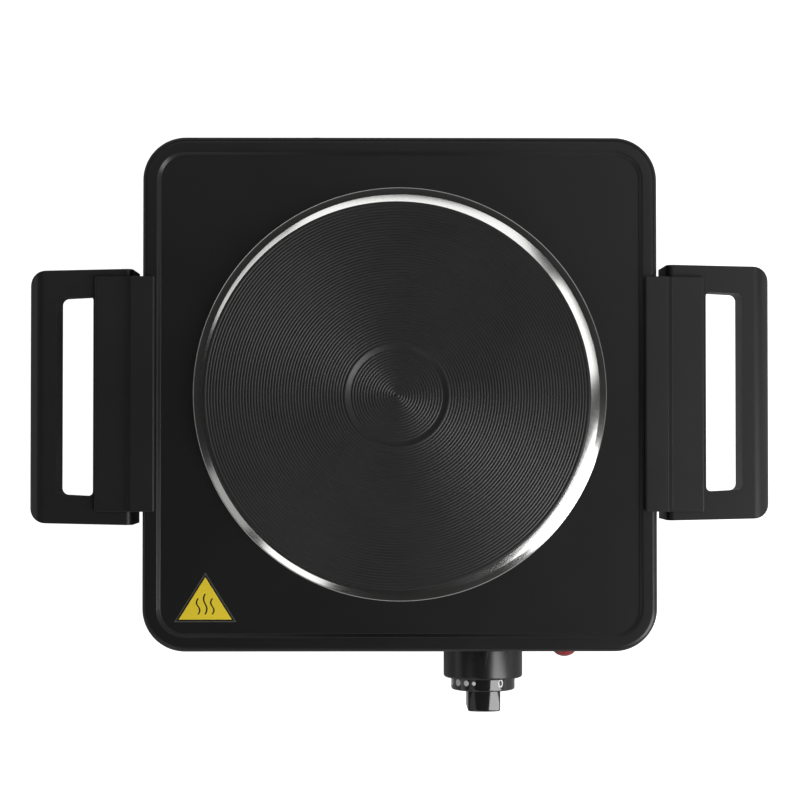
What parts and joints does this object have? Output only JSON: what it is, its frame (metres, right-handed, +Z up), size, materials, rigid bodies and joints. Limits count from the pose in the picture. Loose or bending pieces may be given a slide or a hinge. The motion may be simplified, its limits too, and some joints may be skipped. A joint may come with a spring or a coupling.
{
  "type": "electric hot plate",
  "caption": "Square single electric hot plate with a cast-iron plate in a steel ring, side loop handles, front thermostat knob and red lamp.",
  "frame": {"origin": "on the surface under the feet, below the middle of the object's box (the square body's centre is 13 mm behind it)", "axes": "+X to the right across the two handles, -Y towards the knob at the front, +Z up"},
  "size_m": [0.3472, 0.274, 0.074],
  "materials": {
    "black_enamel": "near-black satin stoved paint",
    "cast_iron": "dark heat-treated iron with fine turned grooves",
    "polished_steel": "polished stainless steel",
    "plated_steel": "dull zinc plating",
    "brass_contacts": "plain brass",
    "phenolic_black": "black heat-resistant moulding, satin",
    "gloss_black": "black moulding, polished",
    "rubber_black": "black rubber",
    "steatite": "unglazed white ceramic",
    "cement_grey": "rough grey insulating cement",
    "nylon_white": "off-white moulding",
    "red_lens": "translucent red moulding",
    "clear_glass": "clear bulb glass",
    "lead_sleeve": "woven heat-resistant sleeve",
    "sticker_yellow": "printed yellow sticker"
  },
  "bodies": {
    "base": {"housing": "black_enamel", "cast_iron_plate": "cast_iron", "trim_ring": "polished_steel", "base_plate": "plated_steel", "base_screws": "plated_steel", "foot_screws": "plated_steel", "foot_nuts": "plated_steel", "clamp_bracket": "plated_steel", "heat_shield": "plated_steel", "heater_cover": "plated_steel", "centre_stud": "plated_steel", "stud_washer": "plated_steel", "stud_nut": "plated_steel", "thermostat_frame": "plated_steel", "thermostat_nut": "plated_steel", "lamp_clip": "plated_steel", "handle_screws_left": "plated_steel", "handle_screws_right": "plated_steel", "terminal_screws": "plated_steel", "earth_screw": "plated_steel", "stack_rivets": "plated_steel", "heating_coil": "plated_steel", "bimetal_strip": "plated_steel", "thermostat_bush": "brass_contacts", "moving_blade": "brass_contacts", "fixed_blade": "brass_contacts", "heater_pins": "brass_contacts", "earth_tag": "brass_contacts", "handle_left": "phenolic_black", "handle_right": "phenolic_black", "handle_cover_left": "phenolic_black", "handle_cover_right": "phenolic_black", "knob_bezel": "gloss_black", "foot_front_left": "rubber_black", "foot_rear_left": "rubber_black", "foot_front_right": "rubber_black", "foot_rear_right": "rubber_black", "cord_gland": "rubber_black", "heater_block": "steatite", "thermostat_guide": "steatite", "contact_stack": "steatite", "insulating_cement": "cement_grey", "terminal_block": "nylon_white", "lamp_cap": "nylon_white", "lamp_lens": "red_lens", "lamp_neon": "clear_glass", "lead_live": "lead_sleeve", "lead_switched": "lead_sleeve", "lead_neutral": "lead_sleeve", "lead_earth": "lead_sleeve", "lead_lamp_live": "lead_sleeve", "lead_lamp_neutral": "lead_sleeve", "caution_sticker": "sticker_yellow"},
    "control": {"knob": "gloss_black", "thermostat_spindle": "plated_steel", "knob_clip": "plated_steel"},
    "pusher": {"push_screw": "brass_contacts"}
  },
  "joints": [
    {"name": "knob_turn", "type": "hinge", "parent": "base", "child": "control", "pos_m": [0.04, -0.117, 0.035], "axis": [0, -1, 0], "range_deg": [-250, 30]},
    {"name": "push_travel", "type": "slide", "parent": "base", "child": "pusher", "axis": [0, 1, 0], "range_m": [-0.0001, 0.0008]}
  ],
  "couplings": [
    {"joint": "push_travel", "follows": "knob_turn", "m_per_rad": -0.00015915}
  ]
}
